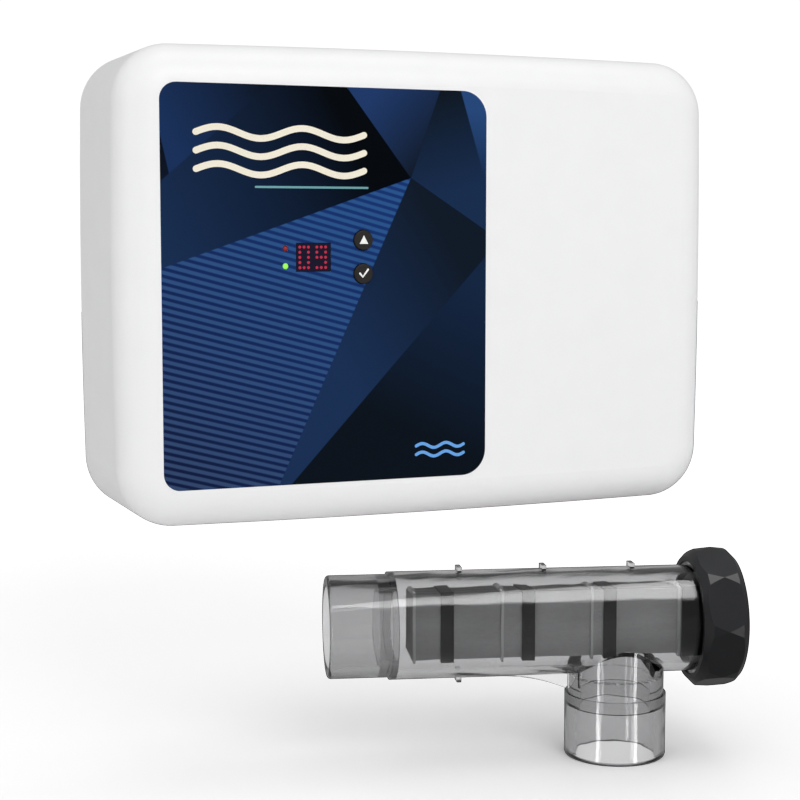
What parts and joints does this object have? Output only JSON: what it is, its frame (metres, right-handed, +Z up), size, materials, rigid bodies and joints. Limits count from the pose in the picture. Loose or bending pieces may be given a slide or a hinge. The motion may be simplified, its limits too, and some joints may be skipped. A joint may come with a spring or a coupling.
{
  "type": "salt chlorine generator",
  "caption": "Wall-mounted white controller with a printed front panel, display and buttons, and a clear tee-shaped electrolysis cell with plates and a black union nut.",
  "frame": {"origin": "centre of the four wall holes, on the wall plane", "axes": "+Z up, +Y into the wall, +X to the right as seen from the front; the cell's axis is turned 15 degrees from +X away from the wall"},
  "size_m": [0.3976, 0.1414, 0.4315],
  "materials": {
    "white_case": "satin",
    "label_print": "satin",
    "dark_lens": "polished",
    "display_black": "matte",
    "lamp_red": "polished",
    "lamp_green": "polished",
    "button_black": "satin",
    "clear_plastic": "polished",
    "nut_black": "satin",
    "clip_black": "matte",
    "spacer_pale": "satin",
    "coated_titanium": "matte",
    "bare_titanium": "satin",
    "rubber_black": "matte",
    "slip_white": "satin",
    "gland_grey": "satin",
    "screw_steel": "satin",
    "clamp_steel": "satin",
    "board_green": "satin",
    "switch_black": "matte",
    "ribbon_grey": "satin",
    "winding_yellow": "satin",
    "sink_aluminium": "satin",
    "capacitor_sleeve": "gloss",
    "relay_blue": "gloss",
    "holder_black": "matte",
    "fuse_glass": "polished",
    "terminal_green": "satin"
  },
  "bodies": {
    "installation": {"front_cover": "white_case", "rear_cover": "white_case", "label_overlay": "label_print", "display_window": "dark_lens", "display_module": "display_black", "led_red": "lamp_red", "led_green": "lamp_green", "cell_housing": "clear_plastic", "cell_branch": "clear_plastic", "cell_gusset": "clear_plastic", "cover_gasket": "rubber_black", "gland_seals": "rubber_black", "gland_bodies": "gland_grey", "gland_lock_nuts": "gland_grey", "gland_cap_nuts": "gland_grey", "cover_screws": "screw_steel", "display_board_screws": "screw_steel", "main_board_screws": "screw_steel", "transformer_bolt": "screw_steel", "transformer_clamp": "clamp_steel", "display_board": "board_green", "main_board": "board_green", "tact_switches": "switch_black", "main_header": "switch_black", "display_header": "switch_black", "bridge_rectifier": "switch_black", "controller_chip": "switch_black", "ribbon_cable": "ribbon_grey", "transformer": "winding_yellow", "heatsink": "sink_aluminium", "capacitors": "capacitor_sleeve", "relays": "relay_blue", "fuse_holder": "holder_black", "fuse": "fuse_glass", "terminal_block": "terminal_green"},
    "up_button": {"button_up": "button_black"},
    "ok_button": {"button_ok": "button_black"},
    "cartridge": {"electrode_head": "nut_black", "head_o_ring": "rubber_black", "bus_bars": "bare_titanium", "terminal_studs": "bare_titanium", "terminal_nuts": "screw_steel", "plate_clip_1": "clip_black", "plate_clip_2": "clip_black", "plate_clip_3": "clip_black", "plate_spacer_1": "spacer_pale", "plate_spacer_2": "spacer_pale", "plate_spacer_3": "spacer_pale", "plate_spacer_4": "spacer_pale", "anode_plate_1": "coated_titanium", "anode_plate_2": "coated_titanium", "anode_plate_3": "coated_titanium", "anode_plate_4": "coated_titanium", "cathode_plate_1": "bare_titanium", "cathode_plate_2": "bare_titanium", "cathode_plate_3": "bare_titanium"},
    "slip": {"slip_ring": "slip_white"},
    "nut": {"union_nut": "nut_black"}
  },
  "joints": [
    {"name": "button_up_press", "type": "slide", "parent": "installation", "child": "up_button", "axis": [0, 1, 0], "range_m": [0, 0.0007], "stiffness_N_per_m": 1500},
    {"name": "button_ok_press", "type": "slide", "parent": "installation", "child": "ok_button", "axis": [0, 1, 0], "range_m": [0, 0.0007], "stiffness_N_per_m": 1500},
    {"name": "cartridge_draw", "type": "slide", "parent": "installation", "child": "cartridge", "axis": [0.9659, -0.2588, 0], "range_m": [0, 0.2]},
    {"name": "nut_advance", "type": "slide", "parent": "cartridge", "child": "slip", "axis": [0.9659, -0.2588, 0], "range_m": [0, 0.012]},
    {"name": "nut_turn", "type": "hinge", "parent": "slip", "child": "nut", "pos_m": [0.18722, -0.09702, -0.211], "axis": [0.9659, -0.2588, 0], "range_deg": [0, 1080]}
  ],
  "couplings": [
    {"joint": "nut_advance", "follows": "nut_turn", "m_per_rad": 0.00063662}
  ]
}
